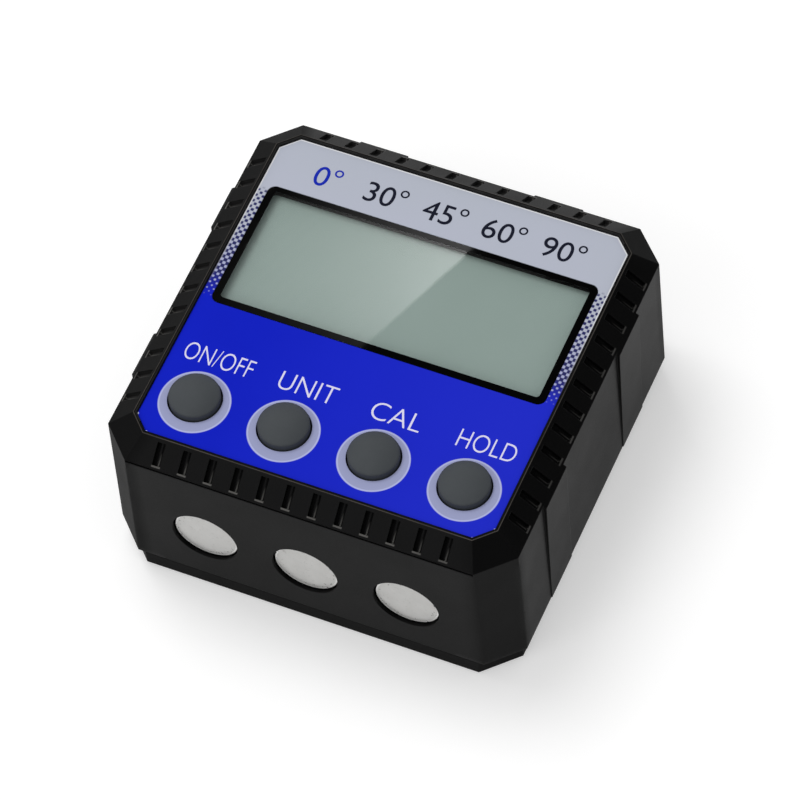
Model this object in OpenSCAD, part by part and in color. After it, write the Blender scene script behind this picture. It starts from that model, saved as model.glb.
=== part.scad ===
// Digital angle gauge with a magnetic base, lying on its back with the face up.
// Millimetres. X runs along the base wall, Y from the base wall to the display's top, Z out of the face.
// The origin is the middle of the resting face, in the middle of the overall box.

/* [Housing] */
// Width across the bezel's lower edge
case_w = 52; // [51.5:0.5:64]
// Length from the base face to the bezel's top edge
case_l = 52; // [50:0.5:64]
// Thickness from the back to the bezel's rim
case_t = 25; // [24.5:0.5:32]
// Leg of the chamfer on the four corners
corner_cut = 4; // [3:0.1:5]
// Thickness of the side walls
wall_t = 1.6; // [1.2:0.1:2]
// How far the side walls lean out on their way down to the seam
wall_flare = 0.3; // [0:0.05:0.5]
// Thickness of the front plate that the face panel is glued to
front_t = 1.9; // [1.6:0.1:2.4]
// Chamfer along the housing's lower edge
lower_chamfer = 0.35; // [0.1:0.05:0.6]

/* [Bezel] */
// Height of the bezel's slope
bezel_h = 2.4; // [1.8:0.1:3]
// How far the slope leans in
bezel_in = 3; // [2.4:0.1:3.6]
// Width of the rim around the face panel
rim_w = 0.3; // [0.2:0.05:0.6]
// Height of the rim above the face panel
rim_rise = 0.35; // [0.1:0.05:0.6]
// Grooves on each side of the bezel
groove_count = 12; // [4:1:12]
// Distance between neighbouring grooves
groove_pitch = 3.3; // [2.4:0.1:3.6]
// Width of a groove
groove_w = 1; // [0.6:0.1:1.6]
// Depth of a groove
groove_depth = 0.55; // [0.2:0.05:0.8]
// Length of a groove down the slope
groove_len = 2.8; // [2:0.05:3]
// Distance from the rim to a groove's upper end
groove_gap = 0.55; // [0.1:0.05:0.6]
// Depth of the line cut under the bezel on the base wall
base_line_depth = 0.4; // [0.1:0.05:0.6]
// Height of that line
base_line_h = 0.35; // [0.2:0.05:0.6]

/* [Side pads] */
// Width of a raised pad
pad_w = 6.2; // [3:0.1:8]
// Distance between the two pads of a wall
pad_spacing = 22.8; // [16:0.1:28]
// How far a pad stands out of the wall
pad_proud = 0.4; // [0.3:0.05:0.6]

/* [Face panel] */
// Thickness of the face panel
panel_t = 0.5; // [0.3:0.05:0.8]
// Gap around the face panel in its pocket
panel_gap = 0.1; // [0.05:0.05:0.2]

/* [Display] */
// Width of the clear window
window_w = 42.6; // [36:0.1:43]
// Height of the clear window
window_h = 18; // [14:0.1:19]
// Thickness of the clear window
window_t = 0.8; // [0.7:0.1:1.2]
// Corner radius of the clear window
window_r = 1; // [0.5:0.1:2]
// Distance from the window up to the panel's upper edge
window_up = 7.5; // [7:0.1:9.6]
// Ledge that carries the window's edge
window_ledge = 0.6; // [0.4:0.1:1]
// Gap around the window in the face panel
window_gap = 0.05; // [0.05:0.05:0.2]
// Width of the display glass
lcd_w = 44; // [43:0.1:45]
// Height of the display glass
lcd_h = 19.6; // [19:0.1:20]
// Thickness of the display glass
lcd_t = 2.4; // [1.8:0.1:2.8]
// Gap between display glass, window ledge and frame
lcd_gap = 0.1; // [0.05:0.05:0.2]
// Thickness of the rim between the window and the display glass
lcd_rim_t = 0.4; // [0.3:0.1:0.8]
// Wall of the frame around the display glass
lcd_frame_t = 1; // [0.7:0.1:1.2]
// Width of the rubber contact strips
strip_w = 2; // [1:0.1:3]

/* [Keys] */
// Distance between neighbouring keys
key_pitch = 11.4; // [10.5:0.1:11.6]
// Distance from the keys' middle down to the panel's lower edge
key_down = 6.2; // [5.6:0.1:7.1]
// Diameter of a key
key_d = 6.2; // [4:0.1:6.6]
// Height of the key's straight side above the face panel
key_side = 0.75; // [0.5:0.05:1]
// Height of the dome on the key's side
key_dome = 0.9; // [0.4:0.05:1.4]
// How far a key presses in
key_travel = 0.5; // [0.2:0.05:0.6]
// Gap around a key in its hole
key_gap = 0.2; // [0.15:0.05:0.4]
// How far a key's flange reaches past its hole
key_flange = 0.5; // [0.3:0.05:0.6]
// Gap between a key's flange and the front plate
key_lift = 0.1; // [0.05:0.05:0.2]
// Thickness of a key's flange
key_flange_t = 1.15; // [0.8:0.05:1.3]
// Width of a push switch
switch_w = 5.2; // [4:0.1:5.4]
// Diameter of a switch's plunger
plunger_d = 2.4; // [1.5:0.1:3]
// Height of a plunger above its switch
plunger_rise = 1; // [0.8:0.1:1.3]
// How deep a plunger reaches into its switch
plunger_sink = 0.6; // [0.3:0.1:0.8]

/* [Base magnets] */
// Diameter of a disc magnet
magnet_d = 8; // [5:0.5:10]
// Thickness of a disc magnet
magnet_t = 3; // [2:0.5:3.5]
// Distance between neighbouring magnets
magnet_pitch = 12.9; // [12.5:0.1:14]
// Height of the magnets' middle above the back
magnet_z = 10.8; // [8:0.1:11]
// How far a magnet's face lies below the base face
magnet_sink = 0.5; // [0.2:0.05:0.8]
// Gap around a magnet in its pocket
magnet_gap = 0.2; // [0.05:0.05:0.3]
// Wall around and behind a magnet
magnet_wall = 0.9; // [0.6:0.1:1.2]

/* [Circuit board] */
// Thickness of the board
board_t = 1.2; // [0.8:0.1:1.6]
// Gap between the board's edge and the housing
board_gap = 1; // [0.6:0.1:1.4]
// Height of the board's upper face below the front plate
board_drop = 4.65; // [4.5:0.05:4.9]
// Side of the tilt sensor chip
sensor_w = 5; // [3:0.5:6]
// Thickness of the tilt sensor chip
sensor_t = 1.2; // [0.8:0.1:1.6]
// Side of the controller chip
chip_w = 10; // [6:0.5:12]
// Thickness of the controller chip
chip_t = 1.4; // [1:0.1:1.6]

/* [Back cover] */
// Height of the cover's visible band
cover_band = 2.5; // [2.2:0.1:3]
// Thickness of the cover's skin
cover_t = 1.8; // [1.7:0.1:2.2]
// How far the cover's band stands back from the side walls
cover_inset = 0.7; // [0.4:0.05:0.9]
// How far the cover's band stands back from the base face
cover_base_inset = 0.15; // [0.05:0.05:0.3]
// Chamfer along the cover's lower edge
cover_chamfer = 0.4; // [0.2:0.05:0.6]
// Height of the lip that centres the cover in the housing
lip_h = 1.8; // [1:0.1:3]
// Thickness of that lip
lip_t = 1; // [0.7:0.1:1.2]
// Gap between the lip and the housing
lip_gap = 0.15; // [0.1:0.05:0.3]

/* [Batteries] */
// Diameter of a cell
cell_d = 10.5; // [10:0.1:10.6]
// Length of a cell with its button
cell_l = 44.5; // [43:0.1:44.7]
// Height of a cell's button
cell_button_h = 1; // [0.8:0.1:1.4]
// Diameter of a cell's button
cell_button_d = 3.8; // [3:0.1:4]
// Gap between the cells, and around them in the bay
cell_gap = 0.3; // [0.2:0.05:0.4]
// Distance from the top of the housing's inside to the bay's wall
bay_back_gap = 1.5; // [1:0.1:2]
// Thickness of the bay's walls
bay_wall = 0.9; // [0.7:0.1:1.1]
// Thickness of the bay's floor, on the side of the board
bay_floor_t = 1.2; // [1:0.1:1.4]
// Wire of a contact spring
spring_wire_d = 0.6; // [0.4:0.05:0.7]
// Thickness of the stamped contacts
contact_t = 0.3; // [0.2:0.05:0.4]
// Width of a stamped contact
contact_w = 7; // [6:0.5:8]
// Diameter of the battery leads
lead_d = 1; // [0.6:0.1:1.2]

/* [Battery door] */
// Thickness of the door
door_t = 1.5; // [1.3:0.05:1.6]
// How far the door lies above the resting face
door_recess = 0.15; // [0.1:0.05:0.2]
// Gap around the door and its tongues
door_gap = 0.2; // [0.1:0.05:0.25]
// How far the door reaches past the bay's lower wall
door_overlap = 2; // [1.5:0.1:3]
// How far the tongues reach into their grooves
tongue_w = 0.8; // [0.6:0.05:0.9]
// Thickness of the tongues
tongue_t = 0.6; // [0.4:0.05:0.7]
// Finger ridges cut into the door
door_ridges = 5; // [3:1:7]

/* [Screws] */
// Diameter of the screws' shanks
screw_d = 1.9; // [1.6:0.1:2.2]
// Diameter of the screws' heads
screw_head_d = 3.6; // [3:0.1:3.8]
// Height of the screws' heads
screw_head_h = 1.2; // [0.8:0.1:1.2]
// Length of the case screws below their heads
case_screw_l = 7; // [5:0.5:8]
// Length of the board screws below their heads
board_screw_l = 5; // [4:0.5:5]
// Gap around a screw in its boss
screw_gap = 0.05; // [0.05:0.05:0.1]
// Gap around a screw in the piece that it clamps
screw_pass_gap = 0.2; // [0.1:0.05:0.3]
// Diameter of the bosses that the screws bite in
boss_d = 4.2; // [3.8:0.1:4.4]

/* [Hidden] */
$fn = 48;
small_fn = 24;

// Heights, from the back upwards
y_mid = -pad_proud / 2;
base_y = y_mid - case_l / 2;
edge_z = case_t - bezel_h;
seam_z = cover_band;
panel_top = case_t - rim_rise;
panel_seat = panel_top - panel_t;
plate_under = panel_seat - front_t;
window_seat = panel_top - window_t;
lcd_ceiling = window_seat - lcd_rim_t;
lcd_top = lcd_ceiling - lcd_gap;
lcd_bottom = lcd_top - lcd_t;
board_top = plate_under - board_drop;
board_bottom = board_top - board_t;

// Shape of the bezel and walls
root2 = sqrt(2);
diagonal_half = ((case_w + case_l) / 2 - corner_cut) / root2;
slope_angle = atan2(bezel_h, bezel_in);
panel_inset = bezel_in + rim_w + panel_gap;
cut = 1;

// Keys, switches and display
panel_half_l = case_l / 2 - panel_inset;
window_y = y_mid + panel_half_l - window_up - window_h / 2;
key_y = y_mid - panel_half_l + key_down;
key_r = key_d / 2;
key_hole_r = key_r + key_gap;
key_flange_top = plate_under - key_lift;
key_bottom = key_flange_top - key_flange_t;
switch_top = key_bottom - plunger_rise;
plunger_floor_gap = 0.4;
plunger_bore_depth = plunger_sink + key_travel + plunger_floor_gap;
lcd_pocket_w = lcd_w + 2 * lcd_gap;
lcd_pocket_h = lcd_h + 2 * lcd_gap;
frame_edge_gap = 0.3;
lcd_frame_w = case_w - 2 * (wall_t + board_gap + frame_edge_gap);
strip_y = lcd_h / 2 - strip_w / 2 - lcd_gap;
strip_end_gap = 2;
sensor_x = 7;
chip_x = -9;

// Battery bay in the back cover
inner_half_w = case_w / 2 - wall_t;
inner_top_y = y_mid + case_l / 2 - wall_t;
bay_side_gap = 0.1;
bay_half = inner_half_w - bay_side_gap - bay_wall;
bay_top_y = inner_top_y - bay_back_gap - bay_wall;
cell_upper_y = bay_top_y - cell_gap - cell_d / 2;
cell_lower_y = cell_upper_y - cell_d - cell_gap;
bay_low_y = cell_lower_y - cell_d / 2 - cell_gap;
cell_z = door_recess + door_t + cell_gap + cell_d / 2;
bay_floor_under = cell_z + cell_d / 2 + cell_gap;
bay_floor_top = bay_floor_under + bay_floor_t;
spring_h = 2 * bay_half - cell_l - 2 * contact_t;
spring_base_r = 3.4;
spring_tip_r = 2.1;
spring_turns = 2;
contact_h = 7;
tab_w = 3;
tab_rise = 1.5;
tab_gap = 0.1;
lead_rise = 0.9;
lead_bend_r = 1;
lead_straight = 0.6;

// Battery door and its rails
slot_half = bay_half + bay_side_gap;
door_half = slot_half - door_gap;
slot_low_y = bay_low_y - door_overlap;
door_low_y = slot_low_y + door_gap;
tongue_z = door_recess + door_t / 2;
tongue_end_gap = 4;
ridge_w = 0.8;
ridge_depth = 0.4;
ridge_len = 20;
ridge_pitch = 1.6;
ridge_end_gap = 5;

// Screws and bosses
head_gap = 0.2;
head_recess = 0.2;
seat_t = 1;
well_wall = 0.8;
boss_clear = 0.3;
boss_r = boss_d / 2;
well_r = screw_head_d / 2 + head_gap + well_wall;
low_seat = head_recess + screw_head_h;
high_seat = bay_floor_under + screw_head_h;
low_screw_side = 2.6;
low_screw_base = 3;
low_screw_x = inner_half_w - low_screw_side;
low_screw_y = base_y + wall_t + low_screw_base;
high_screw_side = 6.4;
high_screw_x = bay_half - high_screw_side;
high_screw_y = bay_top_y - screw_head_d / 2 - tab_gap;
case_screw_places = [
    [low_screw_x, low_screw_y, low_seat],
    [-low_screw_x, low_screw_y, low_seat],
    [high_screw_x, high_screw_y, high_seat],
    [-high_screw_x, high_screw_y, high_seat]
];
board_screw_down = 2.9;
board_screw_x = 9;
board_screw_places = [
    [key_pitch, key_y - board_screw_down],
    [-key_pitch, key_y - board_screw_down],
    [board_screw_x, high_screw_y],
    [-board_screw_x, high_screw_y]
];

black = [0.07, 0.07, 0.075];
dark_plastic = [0.1, 0.1, 0.105];

function key_x(i) = (i - 1.5) * key_pitch;

function magnet_x(i) = (i - 1) * magnet_pitch;

// Cut of an octagon's corner after all its sides have moved in by the same distance
function inset_corner(inset) = corner_cut - inset * (2 - root2);

// Outline across the case from two lists of [offset, height] points, lowest first
function cross_outline(half, low_side, high_side) = concat(
    [for (p = high_side) [half + p[0], p[1]]],
    [for (i = [len(low_side) - 1:-1:0]) [-half - low_side[i][0], low_side[i][1]]]
);

// Solid bounded by the case's eight sides, each following its own profile
module eight_sided(side, base) {
    reach = case_w + case_l;
    translate([0, y_mid, 0])
        intersection() {
            rotate([90, 0, 0])
                linear_extrude(height = reach, center = true)
                    polygon(cross_outline(case_w / 2, side, side));
            rotate([90, 0, 90])
                linear_extrude(height = reach, center = true)
                    polygon(cross_outline(case_l / 2, base, side));
            for_both_diagonals(side, reach);
        }
}

module for_both_diagonals(side, reach) {
    intersection_for (turn = [-45, 45])
        rotate([90, 0, turn])
            linear_extrude(height = reach, center = true)
                polygon(cross_outline(diagonal_half, side, side));
}

// Octagon of the face, with every side moved in
module face_octagon(inset) {
    a = case_w / 2 - inset;
    b = case_l / 2 - inset;
    c = inset_corner(inset);
    translate([0, y_mid])
        polygon([
            [a - c, -b], [a, -b + c], [a, b - c], [a - c, b],
            [-a + c, b], [-a, b - c], [-a, -b + c], [-a + c, -b]
        ]);
}

module rounded_rect(w, h, r) {
    square([w - 2 * r, h], center = true);
    square([w, h - 2 * r], center = true);
    for (x = [-1, 1], y = [-1, 1])
        translate([x * (w / 2 - r), y * (h / 2 - r)])
            circle(r);
}

// Block on the display's middle line
module display_block(w, h, z0, z1, r) {
    translate([0, window_y, z0])
        linear_extrude(height = z1 - z0)
            rounded_rect(w, h, r);
}

// Tilted to a bezel slope: local x runs down the slope from its upper edge, local z points out of it
module on_slope(side_turn, half) {
    translate([0, y_mid, 0])
        rotate([0, 0, side_turn])
            translate([half - bezel_in, 0, case_t])
                rotate([0, slope_angle, 0])
                    children();
}

module groove_cutter() {
    translate([groove_gap, -groove_w / 2, -groove_depth])
        cube([groove_len, groove_w, groove_depth + cut]);
}

module bezel_grooves() {
    for (turn = [0, 90, 180, 270], i = [0:groove_count - 1])
        on_slope(turn, (turn % 180 == 0 ? case_w : case_l) / 2)
            translate([0, (i - (groove_count - 1) / 2) * groove_pitch, 0])
                groove_cutter();
}

// Raised pad on a wall, its top running on in the bezel's slope
module side_pad(half) {
    inside = half - wall_t;
    fall = bezel_h / bezel_in;
    rotate([90, 0, 0])
        linear_extrude(height = pad_w, center = true)
            polygon([
                [inside, seam_z + lower_chamfer], [half + pad_proud, seam_z + lower_chamfer],
                [half + pad_proud, edge_z - pad_proud * fall], [half, edge_z],
                [inside, edge_z]
            ]);
}

module side_pads() {
    for (turn = [0, 90, 180], at = [-1, 1])
        translate([0, y_mid, 0])
            rotate([0, 0, turn])
                translate([0, at * pad_spacing / 2, 0])
                    side_pad((turn == 90 ? case_l : case_w) / 2);
}

module outer_shell() {
    slope = [[0, edge_z], [-bezel_in, case_t]];
    eight_sided(
        concat([[wall_flare - lower_chamfer, seam_z], [wall_flare, seam_z + lower_chamfer]], slope),
        concat([[-lower_chamfer, seam_z], [0, seam_z + lower_chamfer]], slope)
    );
    side_pads();
}

module inner_space() {
    eight_sided(
        [[wall_flare - wall_t, seam_z - cut], [wall_flare - wall_t, seam_z], [-wall_t, plate_under]],
        [[-wall_t, seam_z - cut], [-wall_t, plate_under]]
    );
}

module base_line() {
    translate([-case_w / 2 + corner_cut, base_y - cut, edge_z - base_line_h])
        cube([case_w - 2 * corner_cut, base_line_depth + cut, base_line_h]);
}

// Disc lying against the base wall, its axis along Y
module base_disc(i, r, from, to) {
    translate([magnet_x(i), base_y + from, magnet_z])
        rotate([-90, 0, 0])
            cylinder(r = r, h = to - from);
}

module magnet_bosses() {
    for (i = [0:2])
        base_disc(
            i, magnet_d / 2 + magnet_gap + magnet_wall, wall_t / 2,
            magnet_sink + magnet_t + magnet_wall
        );
}

module housing_bosses() {
    for (p = case_screw_places)
        translate([p[0], p[1], p[2] + seat_t])
            cylinder(r = boss_r, h = plate_under + front_t / 2 - p[2] - seat_t);
    for (p = board_screw_places)
        translate([p[0], p[1], board_top])
            cylinder(r = boss_r, h = board_drop + front_t / 2);
}

module housing_pilot_holes() {
    pilot_r = screw_d / 2 + screw_gap;
    for (p = case_screw_places)
        translate([p[0], p[1], p[2]])
            cylinder(r = pilot_r, h = case_screw_l + screw_gap, $fn = small_fn);
    for (p = board_screw_places)
        translate([p[0], p[1], board_bottom])
            cylinder(r = pilot_r, h = board_screw_l + screw_gap, $fn = small_fn);
}

module key_holes(r, z0, z1) {
    for (i = [0:3])
        translate([key_x(i), key_y, z0])
            cylinder(r = r, h = z1 - z0);
}

module front_housing() {
    color(black)
        difference() {
            union() {
                difference() {
                    outer_shell();
                    inner_space();
                }
                magnet_bosses();
                housing_bosses();
            }
            translate([0, 0, panel_seat])
                linear_extrude(height = rim_rise + panel_t + cut)
                    face_octagon(bezel_in + rim_w);
            display_block(
                window_w + 2 * window_gap, window_h + 2 * window_gap, window_seat, case_t,
                window_r + window_gap
            );
            display_block(
                window_w - 2 * window_ledge, window_h - 2 * window_ledge, lcd_bottom, case_t, window_r / 2
            );
            display_block(lcd_pocket_w, lcd_pocket_h, plate_under - cut, lcd_ceiling, window_r / 2);
            key_holes(key_hole_r, plate_under - cut, case_t);
            for (i = [0:2])
                base_disc(i, magnet_d / 2 + magnet_gap, -cut, magnet_sink + magnet_t);
            housing_pilot_holes();
            bezel_grooves();
            base_line();
        }
}

module face_panel() {
    color([0.2, 0.25, 0.8])
        translate([0, 0, panel_seat])
            difference() {
                linear_extrude(height = panel_t)
                    face_octagon(panel_inset);
                translate([0, window_y, -cut])
                    linear_extrude(height = panel_t + 2 * cut)
                        rounded_rect(
                            window_w + 2 * window_gap, window_h + 2 * window_gap, window_r + window_gap
                        );
                key_holes(key_hole_r, -cut, panel_t + cut);
            }
}

module display_window() {
    color([0.75, 0.8, 0.8])
        display_block(window_w, window_h, window_seat, panel_top, window_r);
}

module lcd_panel() {
    color([0.54, 0.6, 0.57])
        display_block(lcd_w, lcd_h, lcd_bottom, lcd_top, window_r / 2);
}

module lcd_frame() {
    color([0.85, 0.85, 0.82])
        difference() {
            display_block(
                lcd_frame_w, lcd_pocket_h + 2 * lcd_frame_t, board_top,
                plate_under - lcd_gap, lcd_frame_t
            );
            display_block(lcd_pocket_w, lcd_pocket_h, board_top - cut, plate_under, window_r / 2);
        }
}

module contact_strips() {
    color([0.85, 0.5, 0.6])
        for (at = [-1, 1])
            translate([-lcd_w / 2 + strip_end_gap, window_y + at * strip_y - strip_w / 2, board_top])
                cube([lcd_w - 2 * strip_end_gap, strip_w, lcd_bottom - board_top]);
}

// Key number i: flange under the front plate, straight side through it, domed top
module key_cap(i) {
    side_top = panel_top + key_side;
    dome_r = (key_r * key_r + key_dome * key_dome) / (2 * key_dome);
    color([0.38, 0.4, 0.4])
        translate([key_x(i), key_y, 0])
            rotate_extrude() {
                translate([0, key_bottom])
                    square([key_hole_r + key_flange, key_flange_t]);
                translate([0, key_bottom])
                    square([key_r, side_top - key_bottom]);
                intersection() {
                    translate([0, side_top + key_dome - dome_r])
                        circle(dome_r);
                    translate([0, side_top - cut])
                        square([key_r, key_dome + 2 * cut]);
                }
            }
}

module power_key() { key_cap(0); }

module unit_key() { key_cap(1); }

module zero_key() { key_cap(2); }

module hold_key() { key_cap(3); }

module plunger(i) {
    color([0.15, 0.15, 0.15])
        translate([key_x(i), key_y, switch_top - plunger_sink])
            cylinder(d = plunger_d, h = plunger_sink + plunger_rise);
}

module power_plunger() { plunger(0); }

module unit_plunger() { plunger(1); }

module zero_plunger() { plunger(2); }

module hold_plunger() { plunger(3); }

module key_switches() {
    color([0.3, 0.3, 0.32])
        for (i = [0:3])
            translate([key_x(i), key_y, board_top])
                difference() {
                    translate([-switch_w / 2, -switch_w / 2, 0])
                        cube([switch_w, switch_w, switch_top - board_top]);
                    translate([0, 0, switch_top - board_top - plunger_bore_depth])
                        cylinder(r = plunger_d / 2 + key_gap, h = plunger_bore_depth + cut);
                }
}

module circuit_board() {
    color([0.1, 0.4, 0.2])
        translate([0, 0, board_bottom])
            difference() {
                linear_extrude(height = board_t)
                    face_octagon(wall_t + board_gap);
                for (p = case_screw_places)
                    translate([p[0], p[1], -cut])
                        cylinder(r = boss_r + boss_clear, h = board_t + 2 * cut);
                for (p = board_screw_places)
                    translate([p[0], p[1], -cut])
                        cylinder(r = screw_d / 2 + screw_pass_gap, h = board_t + 2 * cut, $fn = small_fn);
            }
}

// Chip soldered to the board under the display, with a bevelled top
module chip(x, w, t) {
    bevel = t / 4;
    translate([x, window_y, board_top]) {
        translate([-w / 2, -w / 2, 0])
            cube([w, w, t - bevel]);
        translate([-w / 2 + bevel, -w / 2 + bevel, 0])
            cube([w - 2 * bevel, w - 2 * bevel, t]);
    }
}

module tilt_sensor() {
    color([0.12, 0.12, 0.12])
        chip(sensor_x, sensor_w, sensor_t);
}

module controller_chip() {
    color([0.08, 0.08, 0.08])
        chip(chip_x, chip_w, chip_t);
}

module base_magnet(i) {
    color([0.8, 0.8, 0.8])
        base_disc(i, magnet_d / 2, magnet_sink, magnet_sink + magnet_t);
}

module base_magnet_left() { base_magnet(0); }

module base_magnet_middle() { base_magnet(1); }

module base_magnet_right() { base_magnet(2); }

// Outer form of the cover's band
module cover_form() {
    side = wall_flare - cover_inset;
    base = -cover_base_inset;
    eight_sided(
        [[side - cover_chamfer, 0], [side, cover_chamfer], [side, seam_z]],
        [[base - cover_chamfer, 0], [base, cover_chamfer], [base, seam_z]]
    );
}

// Upright eight-sided block that follows the housing's inside with a gap
module inside_block(gap, z0, z1) {
    side = -wall_t - gap;
    eight_sided([[side, z0], [side, z1]], [[side, z0], [side, z1]]);
}

// Space of the battery bay, or its outside where it grows by the bay's wall
module bay_block(grow, z0, z1) {
    intersection() {
        translate([-bay_half - grow, bay_low_y - grow, z0])
            cube([2 * (bay_half + grow), bay_top_y - bay_low_y + 2 * grow, z1 - z0]);
        inside_block(bay_side_gap + bay_wall - grow, z0, z1);
    }
}

module door_slot() {
    reach = case_l;
    groove_t = tongue_t + 2 * door_gap;
    groove_half = door_half + tongue_w + door_gap;
    translate([-slot_half, slot_low_y, -cut])
        cube([2 * slot_half, reach, cover_t + cut]);
    translate([-groove_half, slot_low_y, tongue_z - groove_t / 2])
        cube([2 * groove_half, reach, groove_t]);
    translate([-slot_half, door_low_y - tongue_w - door_gap, tongue_z - groove_t / 2])
        cube([2 * slot_half, reach, groove_t]);
}

module back_cover() {
    color(dark_plastic)
        difference() {
            union() {
                difference() {
                    cover_form();
                    inside_block(lip_gap + lip_t, cover_t, seam_z + cut);
                }
                difference() {
                    inside_block(lip_gap, cover_t, seam_z + lip_h);
                    inside_block(lip_gap + lip_t, cover_t - cut, seam_z + lip_h + cut);
                    magnet_clearance();
                }
                bay_block(bay_wall, cover_t, bay_floor_top);
                for (p = case_screw_places)
                    translate([p[0], p[1], p[2] - screw_head_h])
                        cylinder(r = well_r, h = screw_head_h + seat_t);
            }
            bay_block(0, -cut, bay_floor_under);
            door_slot();
            for (p = case_screw_places) {
                translate([p[0], p[1], p[2] - screw_head_h - head_recess - cut])
                    cylinder(r = screw_head_d / 2 + head_gap, h = screw_head_h + head_recess + cut);
                translate([p[0], p[1], p[2] - cut])
                    cylinder(r = screw_d / 2 + screw_pass_gap, h = seat_t + 2 * cut, $fn = small_fn);
                translate([p[0], p[1], p[2] + seat_t])
                    cylinder(r = boss_r + lip_gap, h = lip_h + cover_band);
            }
            for (y = [cell_lower_y, cell_upper_y])
                translate([-bay_half - tab_gap, y - tab_w / 2 - tab_gap, bay_floor_under - cut])
                    cube([contact_t + 2 * tab_gap, tab_w + 2 * tab_gap, bay_floor_t + 2 * cut]);
        }
}

// Room in the cover's lip for the magnet bosses
module magnet_clearance() {
    for (i = [0:2])
        base_disc(
            i, magnet_d / 2 + magnet_gap + magnet_wall + lip_gap, 0,
            magnet_sink + magnet_t + magnet_wall + lip_gap
        );
}

module battery_door() {
    reach = case_l;
    first_ridge_y = inner_top_y - ridge_end_gap;
    color(dark_plastic)
        intersection() {
            cover_form();
            difference() {
                union() {
                    translate([-door_half, door_low_y, door_recess])
                        cube([2 * door_half, reach, door_t]);
                    door_tongues();
                }
                for (i = [0:door_ridges - 1])
                    translate([-ridge_len / 2, first_ridge_y - i * ridge_pitch, door_recess - cut])
                        cube([ridge_len, ridge_w, ridge_depth + cut]);
            }
        }
}

module door_tongues() {
    tongue_half = door_half + tongue_w;
    translate([-tongue_half, door_low_y, tongue_z - tongue_t / 2])
        cube([2 * tongue_half, inner_top_y - tongue_end_gap - door_low_y, tongue_t]);
    translate([-door_half, door_low_y - tongue_w, tongue_z - tongue_t / 2])
        cube([2 * door_half, 2 * tongue_w, tongue_t]);
}

// Cell with its axis along X; way is 1 where the button points to +X
module battery_cell(y, way) {
    r = cell_d / 2;
    body_l = cell_l - cell_button_h;
    edge = 0.5;
    color([0.75, 0.75, 0.72])
        translate([way * (bay_half - contact_t - cell_l), y, cell_z])
            rotate([0, way * 90, 0])
                rotate_extrude()
                    polygon([
                        [0, 0], [r - edge, 0], [r, edge], [r, body_l - edge], [r - edge, body_l],
                        [cell_button_d / 2, body_l], [cell_button_d / 2, cell_l], [0, cell_l]
                    ]);
}

module battery_cell_lower() { battery_cell(cell_lower_y, 1); }

module battery_cell_upper() { battery_cell(cell_upper_y, -1); }

// Round wire wound into a cone, from radius r0 at the bottom to r1 at the top
module coil(r0, r1, wire_d, turns, rise) {
    sides = 8;
    steps = turns * 16;
    rings = [
        for (i = [0:steps], k = [0:sides - 1])
            let (f = i / steps, a = 360 * turns * f, b = 360 * k / sides)
            let (d = r0 + (r1 - r0) * f + wire_d / 2 * cos(b))
            [d * cos(a), d * sin(a), rise * f + wire_d / 2 * sin(b)]
    ];
    skin = [
        for (i = [0:steps - 1], k = [0:sides - 1], half = [0, 1])
            let (p = i * sides + k, q = i * sides + (k + 1) % sides)
            half == 0 ? [p, q, q + sides] : [p, q + sides, p + sides]
    ];
    first = [for (k = [sides - 1:-1:0]) k];
    last = [for (k = [0:sides - 1]) steps * sides + k];
    polyhedron(rings, concat([first], skin, [last]));
}

// Stamped plate on the bay's end wall
module contact_plate(way, y, w) {
    translate([way * (bay_half - contact_t / 2), y, cell_z])
        cube([contact_t, w, contact_h], center = true);
}

// Spring between the plate and the flat end of a cell
module contact_spring(way, y) {
    bite = 0.1;
    rise = spring_h - spring_wire_d + bite;
    translate([way * (bay_half - contact_t), y, cell_z])
        rotate([0, -way * 90, 0])
            translate([0, 0, spring_wire_d / 2 - bite])
                coil(spring_base_r, spring_tip_r, spring_wire_d, spring_turns, rise);
}

// Solder tab that passes through the bay's floor
module contact_tab(y) {
    translate([-bay_half, y - tab_w / 2, cell_z])
        cube([contact_t, tab_w, bay_floor_top + tab_rise - cell_z]);
}

module battery_spring_contact() {
    color([0.85, 0.85, 0.85]) {
        contact_plate(-1, cell_lower_y, contact_w);
        contact_tab(cell_lower_y);
        contact_spring(-1, cell_lower_y);
    }
}

module battery_plate_contact() {
    color([0.85, 0.85, 0.85]) {
        contact_plate(-1, cell_upper_y, contact_w);
        contact_tab(cell_upper_y);
    }
}

module battery_bridge_contact() {
    color([0.85, 0.85, 0.85]) {
        contact_plate(1, (cell_lower_y + cell_upper_y) / 2, cell_upper_y - cell_lower_y + contact_w);
        contact_spring(1, cell_upper_y);
    }
}

// Wire from a contact's tab, bent up to the board
module battery_lead(y) {
    lead_z = bay_floor_top + lead_rise;
    bend_z = lead_z + lead_bend_r;
    translate([-bay_half + contact_t, y, lead_z]) {
        rotate([0, 90, 0])
            cylinder(d = lead_d, h = lead_straight, $fn = small_fn);
        translate([lead_straight, 0, lead_bend_r])
            rotate([90, 0, 0])
                rotate([0, 0, -90])
                    rotate_extrude(angle = 90)
                        translate([lead_bend_r, 0])
                            circle(d = lead_d, $fn = small_fn);
        translate([lead_straight + lead_bend_r, 0, lead_bend_r])
            cylinder(d = lead_d, h = board_bottom - bend_z, $fn = small_fn);
    }
}

module battery_leads() {
    color([0.7, 0.1, 0.1])
        for (y = [cell_lower_y, cell_upper_y])
            battery_lead(y);
}

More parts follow.
